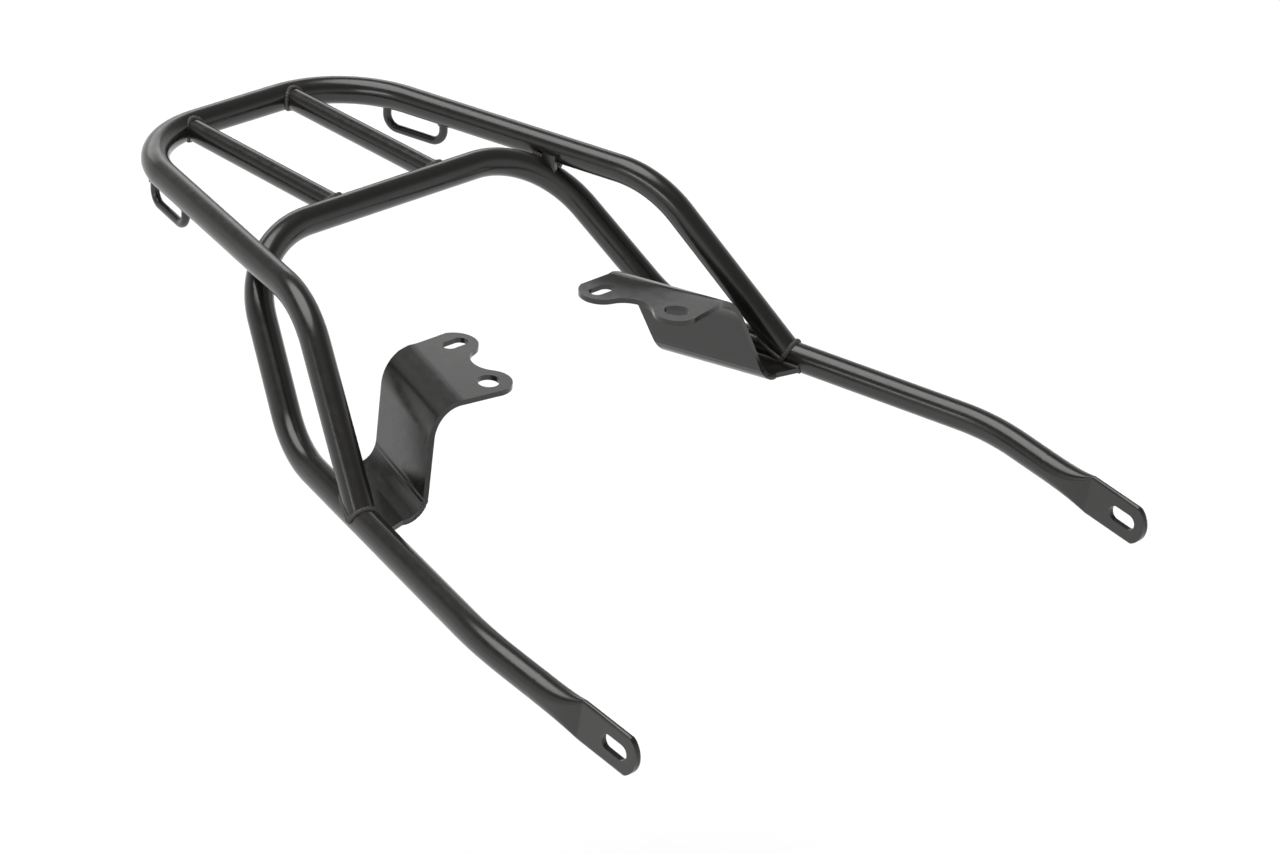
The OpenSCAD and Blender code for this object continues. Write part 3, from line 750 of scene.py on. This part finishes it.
    def sheet(self):
        """Triangles of the blank, with lines across it at every step of the folds."""
        loops = [self.outline()] + self.holes()
        points, edges = [], []
        for loop in loops:
            start = len(points)
            points += [Vector(q) for q in loop]
            edges += [(start + i, start + (i + 1) % len(loop)) for i in range(len(loop))]
        low = min(q.x for q in points) - 5
        high = max(q.x for q in points) + 5
        for start, arc in ((self.fold, self.upper_arc),
                           (self.shelf_s - self.lower_arc, self.lower_arc)):
            for i in range(FOLD_STEPS + 1):
                d = start + arc * i / FOLD_STEPS
                edges.append((len(points), len(points) + 1))
                points += [Vector((low, d)), Vector((high, d))]
        flat, _, faces, *_ = delaunay_2d_cdt(points, edges, [], 0, 1e-5)
        kept = [f for f in faces
                if covers(loops[0], middle_of(flat, f))
                and not any(covers(hole, middle_of(flat, f)) for hole in loops[1:])]
        used = sorted({i for f in kept for i in f})
        index = {old: new for new, old in enumerate(used)}
        return ([self.folded(flat[i].x, flat[i].y) for i in used],
                [[index[i] for i in f] for f in kept])


# ---------------------------------------------------------------- operators

class RACK_OT_hoop(bpy.types.Operator):
    """Bend the hoop: rear bar, rails and the legs down to the arms"""
    bl_idname = "rack.hoop"
    bl_label = "Hoop"

    def execute(self, context):
        s, p = sizes(), Places()
        end = p.foot.lerp(p.front, HOOP_END)
        path = [flip(end), flip(p.front), flip(p.rear), p.rear, p.front, end]
        bend = s.bend * MM
        hoop = rod("hoop", path, [0, bend, bend, bend, bend, 0], s.tube, sides=64, bend_steps=28)
        attach(hoop, SLOT, "hoop_tube")
        return {"FINISHED"}


class RACK_OT_support_tube(bpy.types.Operator):
    """Bend the support tube and press its two ends flat"""
    bl_idname = "rack.support_tube"
    bl_label = "Support Tube"

    SIDES = 64

    def rings(self):
        """Sections of the left half, from the middle of the crossbar to past the tip."""
        s, p = sizes(), Places()
        bend, arm_bend = s.bend * MM, s.arm_bend * MM
        middle = Vector((p.cross.x, 0, p.cross.z))
        line = [middle, middle.lerp(p.cross, 0.3)]
        line += bend_points(middle, p.cross, p.lower, bend, 24)
        line += bend_points(p.cross, p.lower, p.kink, bend, 16)
        line += bend_points(p.lower, p.kink, p.crease, arm_bend, 10)
        points = [(q, s.tube, s.tube) for q in line]
        for i in range(PRESS_STEPS + 1):
            t = i / PRESS_STEPS
            thick = s.tube - (s.tube - s.flat_thick) * press(t)
            share = (s.tube - thick) / (s.tube - s.flat_thick)
            points.append((p.crease - p.nose_dir * s.flare * MM * (1 - t),
                           s.tube + (s.flat_width - s.tube) * share, thick))
        points.append((p.crease + p.nose_dir * (s.flat + 3) * MM, s.flat_width, s.flat_thick))

        side = Vector((0, 0, 1))
        rings = []
        for i, (q, width, thick) in enumerate(points):
            before = points[max(i - 1, 0)][0]
            after = points[min(i + 1, len(points) - 1)][0]
            along = (after - before).normalized()
            if i == 0:
                along = Vector((0, 1, 0))
            side = (side - along * side.dot(along)).normalized()
            rings.append([q, along, side.copy(), width, thick])
        # The section turns along the way, so that its wide side ends up upright in the flat end
        last = rings[-1]
        twist = math.atan2(last[1].dot(last[2].cross(p.nose_up)), last[2].dot(p.nose_up))
        out = []
        for i, (q, along, side, width, thick) in enumerate(rings):
            side = Matrix.Rotation(twist * i / (len(rings) - 1), 3, along) @ side
            if width > s.tube:
                side = p.nose_up
            across = along.cross(side)
            out.append([q + (side * x + across * y) * MM
                        for x, y in flat_section(width, thick, self.SIDES)])
        return out

    def execute(self, context):
        s, p = sizes(), Places()
        left = self.rings()
        right = [mirrored(ring) for ring in left[1:]]
        rings = right[::-1] + left
        count = self.SIDES
        vertices = [q for ring in rings for q in ring]
        faces = [list(range(count)),
                 [len(vertices) - count + j for j in range(count)][::-1]]
        for i in range(len(rings) - 1):
            a, b = i * count, (i + 1) * count
            for j in range(count):
                k = (j + 1) % count
                faces.append([a + k, a + j, b + j, b + k])
        tube = add_object("support_tube_bent", vertices, faces)
        outward(tube)

        cutters = []
        tip = s.flat - s.tip
        reach = s.flat_width
        round_end = [(tip + s.tip * math.cos(math.radians(a)), s.tip * math.sin(math.radians(a)))
                     for a in range(90, -91, -5)]
        tip_outline = [(tip, -reach), (s.flat + 9, -reach), (s.flat + 9, reach), (tip, reach)]
        tip_outline += round_end
        slot = stadium(s.slot_width, s.slot_length, (s.slot_at, 0))
        seam = s.flat_width / 2 - s.wall
        seam_outline = [(-1, -seam), (s.flat + 9, -seam), (s.flat + 9, seam), (-1, seam)]
        for mirror in (False, True):
            origin = flip(p.crease) if mirror else p.crease
            for label, outline, depth in (("seam", seam_outline, 0.12),
                                          ("tip", tip_outline, 9), ("slot", slot, 9)):
                cutter = prism(label, outline, origin, p.nose_dir, p.nose_up,
                               Vector((0, 1, 0)), depth)
                outward(cutter)
                cutters.append(cutter)
                cut = tube.modifiers.new(label, "BOOLEAN")
                cut.object = cutter
                cut.solver = "EXACT"
        baked(tube)
        for cutter in cutters:
            bpy.data.objects.remove(cutter)
        tube.data.materials.clear()
        tube.data.materials.append(coat_material())
        tube.data.shade_smooth()
        crisp(tube, 50, 0.3)
        baked(tube)
        attach(tube, SLOT, "support_tube")
        return {"FINISHED"}


class RACK_OT_platform_bars(bpy.types.Operator):
    """Cut the two platform bars to fit between the rear bar and the crossbar"""
    bl_idname = "rack.platform_bars"
    bl_label = "Platform Bars"

    def execute(self, context):
        s = sizes()
        start, end = Places().bar()
        for name, points in (("platform_bar_left", [start, end]),
                             ("platform_bar_right", [flip(start), flip(end)])):
            bar = rod(name + "_round", points, [0, 0], s.bar)
            attach(bar, SLOT, name)
        return {"FINISHED"}


class RACK_OT_tie_loops(bpy.types.Operator):
    """Bend the two tie-down loops from round rod"""
    bl_idname = "rack.tie_loops"
    bl_label = "Tie-down Loops"

    def execute(self, context):
        s = sizes()
        path = Places().loop()
        bend = s.loop_bend * MM
        for name, points in (("tie_loop_left", path), ("tie_loop_right", mirrored(path))):
            loop = rod(name + "_rod", points, [0, bend, bend, 0], s.rod, sides=32, bend_steps=14)
            attach(loop, SLOT, name)
        return {"FINISHED"}


class RACK_OT_brackets(bpy.types.Operator):
    """Cut the two bracket blanks and fold them"""
    bl_idname = "rack.brackets"
    bl_label = "Brackets"

    def execute(self, context):
        b = bracket_sizes()
        points, faces = Blank().sheet()
        for name, mirror in (("bracket_left", False), ("bracket_right", True)):
            if mirror:
                plate = add_object(name + "_folded", mirrored(points),
                                   [f[::-1] for f in faces])
            else:
                plate = add_object(name + "_folded", points, faces)
            plate.data.materials.append(coat_material())
            wall = plate.modifiers.new("plate", "SOLIDIFY")
            wall.thickness = b.plate * MM
            wall.offset = 0
            wall.use_even_offset = True
            plate.data.shade_smooth()
            crisp(plate, 50, 0.35)
            baked(plate)
            attach(plate, SLOT, name)
        return {"FINISHED"}


class RACK_OT_welds(bpy.types.Operator):
    """Lay the weld beads where the pieces meet"""
    bl_idname = "rack.welds"
    bl_label = "Weld Beads"

    def lay(self, name, seams, radius, closed=True):
        """Lays one bead along each seam, and hands them over as one piece."""
        beads = [bead(f"{name}_{i}", points, radius, 3.1 * i + len(name), closed)
                 for i, points in enumerate(seams)]
        attach(merged(name + "_beads", beads), WELD_SLOT, name)

    def lay_pair(self, name, seams, radius, closed=True):
        """Lays the beads of the left side and their mirror images."""
        self.lay(name + "_left", seams, radius, closed)
        self.lay(name + "_right", [mirrored(seam) for seam in seams], radius, closed)

    def execute(self, context):
        s, f, p = sizes(), finish_sizes(), Places()
        tube, bar, thin = s.tube * MM / 2, s.bar * MM / 2, s.rod * MM / 2
        across = Vector((0, 1, 0))

        start, end = p.bar()
        rear = seam_ring(start.lerp(end, 0.5), start - end, bar, start, across, tube)
        front = seam_ring(start.lerp(end, 0.5), end - start, bar, end, across, tube)
        self.lay("rear_bar_welds", [rear, mirrored(rear)], f.bead)
        self.lay("crossbar_welds", [front, mirrored(front)], f.bead)

        loop = p.loop()
        ends = [seam_ring(q, UP, thin, p.rear, p.rail, tube, 28)
                for q in (loop[1], loop[2])]
        self.lay_pair("loop_welds", ends, f.rod_bead)

        foot = seam_ring(p.front.lerp(p.foot, 0.4), p.foot - p.front, tube, p.foot,
                         p.kink - p.lower, tube)
        self.lay_pair("hoop_foot_weld", [foot], f.bead)

        self.lay_pair("crossing_weld", self.crossing(p, tube), f.bead, closed=False)

        plate = bracket_sizes().plate * MM / 2
        shelf_z = (Blank().shelf_z + s.height) * MM
        arm = (p.kink - p.lower).normalized()
        inward = Vector((arm.y, -arm.x, 0)).normalized()
        for label, side in (("top", 1), ("under", -1)):
            z = shelf_z + side * plate
            line = []
            for x in range(int(s.seat_x - SEAM_BACK), int(s.seat_x + SEAM_AHEAD), SEAM_STEP):
                share = (x - s.arm_x) / (s.kink_x - s.arm_x)
                axis = p.lower.lerp(p.kink, share)
                reach = math.sqrt(max(tube ** 2 - (z - axis.z) ** 2, 0))
                line.append(Vector((axis.x, axis.y, z)) + inward * reach)
            self.lay_pair(f"bracket_seam_{label}", [line], f.bead * SEAM_SHARE, closed=False)
        return {"FINISHED"}

    def crossing(self, p, tube):
        """Short beads on both sides of the spot where the leg's bend touches the rail."""
        middle = Vector((p.cross.x, 0, p.cross.z))
        bend = bend_points(middle, p.cross, p.lower, sizes().bend * MM, 90)
        foot_on_rail = [p.rear + p.rail * (q - p.rear).dot(p.rail) for q in bend]
        near = min(range(len(bend)), key=lambda i: (bend[i] - foot_on_rail[i]).length)
        along_leg = (bend[near + 1] - bend[near - 1]).normalized()
        along = (along_leg + p.rail).normalized()
        normal = (foot_on_rail[near] - bend[near]).normalized()
        sideways = normal.cross(along).normalized()
        touch = bend[near].lerp(foot_on_rail[near], 0.5)
        seams = []
        for side in (1, -1):
            line = []
            for i in range(-CROSSING_STEPS, CROSSING_STEPS + 1):
                line.append(touch + along * (CROSSING_STEP * i)
                            + sideways * side * tube * CROSSING_APART)
            seams.append(line)
        return seams


class RACK_OT_gussets(bpy.types.Operator):
    """Coat the two small gussets where the leg's bend meets the rail"""
    bl_idname = "rack.gussets"
    bl_label = "Crossing Gussets"

    def execute(self, context):
        for name in ("crossing_gusset_left", "crossing_gusset_right"):
            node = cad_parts[name]
            node.data.materials.clear()
            node.data.materials.append(coat_material())
        return {"FINISHED"}


class RACK_OT_stage(bpy.types.Operator):
    """Set up the pale floor, the soft lights and the camera"""
    bl_idname = "rack.stage"
    bl_label = "Stage"

    CAMERA_AT = (1.61687, -1.53646, 1.10674)
    CAMERA_TURN = (62.329, -3.1265, 46.4679)
    CAMERA_LENS = 129.375

    def softbox(self, name, place, size, power):
        """Long area light aimed at the rack."""
        data = bpy.data.lights.new(name, "AREA")
        data.shape = "RECTANGLE"
        data.size, data.size_y = size
        data.energy = power
        lamp = bpy.data.objects.new(name, data)
        lamp.location = place
        lamp.rotation_euler = (-Vector(place)).to_track_quat("-Z", "Y").to_euler()
        bpy.context.scene.collection.objects.link(lamp)

    def execute(self, context):
        scene = context.scene
        floor = cad_box[0][2] - FLOOR_DROP
        corners = [(x * FLOOR_REACH, y * FLOOR_REACH, floor)
                   for x, y in ((-1, -1), (1, -1), (1, 1), (-1, 1))]
        ground = add_object("studio_floor", corners, [[0, 1, 2, 3]])
        paint = bpy.data.materials.new("studio_white")
        paint.use_nodes = True
        shader = paint.node_tree.nodes["Principled BSDF"]
        shader.inputs["Base Color"].default_value = (0.93, 0.93, 0.93, 1)
        shader.inputs["Roughness"].default_value = 0.9
        shader.inputs["Specular IOR Level"].default_value = 0.1
        ground.data.materials.append(paint)

        world = bpy.data.worlds.new("studio")
        scene.world = world
        world.use_nodes = True
        nodes, links = world.node_tree.nodes, world.node_tree.links
        place = nodes.new("ShaderNodeTexCoord")
        parts = nodes.new("ShaderNodeSeparateXYZ")
        ramp = nodes.new("ShaderNodeValToRGB")
        links.new(place.outputs["Generated"], parts.inputs["Vector"])
        links.new(parts.outputs["Z"], ramp.inputs["Fac"])
        links.new(ramp.outputs["Color"], nodes["Background"].inputs["Color"])
        stops = ramp.color_ramp.elements
        for position, _ in SKY[1:-1]:
            stops.new(position)
        for stop, (position, level) in zip(stops, SKY):
            stop.position, stop.color = position, (level, level, level, 1)
        sun = bpy.data.lights.new("overhead", "SUN")
        sun.energy = 2.1
        sun.angle = math.radians(50)
        lamp = bpy.data.objects.new("overhead", sun)
        lamp.rotation_euler = (math.radians(6), math.radians(-14), 0)
        scene.collection.objects.link(lamp)
        for name, place, size, power in SOFTBOXES:
            self.softbox(name, place, size, power)

        data = bpy.data.cameras.new("camera")
        data.lens = self.CAMERA_LENS
        data.sensor_width = 36.0
        data.clip_end = 100.0
        camera = bpy.data.objects.new("camera", data)
        camera.location = self.CAMERA_AT
        camera.rotation_euler = [math.radians(a) for a in self.CAMERA_TURN]
        scene.collection.objects.link(camera)
        scene.camera = camera
        scene.view_settings.view_transform = "Standard"
        return {"FINISHED"}


class RACK_PT_panel(bpy.types.Panel):
    """Pieces and sizes of the rack"""
    bl_idname = "RACK_PT_panel"
    bl_label = "Welded Tube Rack"
    bl_space_type = "VIEW_3D"
    bl_region_type = "UI"
    bl_category = "Rack"

    def draw(self, context):
        layout = self.layout
        for operator in OPERATORS:
            layout.operator(operator.bl_idname)
        for group in (context.scene.rack_frame, context.scene.rack_bracket,
                      context.scene.rack_finish):
            box = layout.box()
            for name in group.__annotations__:
                box.prop(group, name)


OPERATORS = (RACK_OT_hoop, RACK_OT_support_tube, RACK_OT_platform_bars, RACK_OT_tie_loops,
             RACK_OT_brackets, RACK_OT_gussets, RACK_OT_welds, RACK_OT_stage)
GROUPS = (RackFrameSizes, RackBracketSizes, RackFinish)


def register():
    for cls in GROUPS + OPERATORS + (RACK_PT_panel,):
        bpy.utils.register_class(cls)
    bpy.types.Scene.rack_frame = bpy.props.PointerProperty(type=RackFrameSizes)
    bpy.types.Scene.rack_bracket = bpy.props.PointerProperty(type=RackBracketSizes)
    bpy.types.Scene.rack_finish = bpy.props.PointerProperty(type=RackFinish)


def unregister():
    del bpy.types.Scene.rack_finish
    del bpy.types.Scene.rack_bracket
    del bpy.types.Scene.rack_frame
    for cls in reversed(GROUPS + OPERATORS + (RACK_PT_panel,)):
        bpy.utils.unregister_class(cls)


def main():
    register()
    bpy.ops.rack.hoop()
    bpy.ops.rack.support_tube()
    bpy.ops.rack.platform_bars()
    bpy.ops.rack.tie_loops()
    bpy.ops.rack.brackets()
    bpy.ops.rack.gussets()
    bpy.ops.rack.welds()
    bpy.ops.rack.stage()


if __name__ == "__main__":
    main()
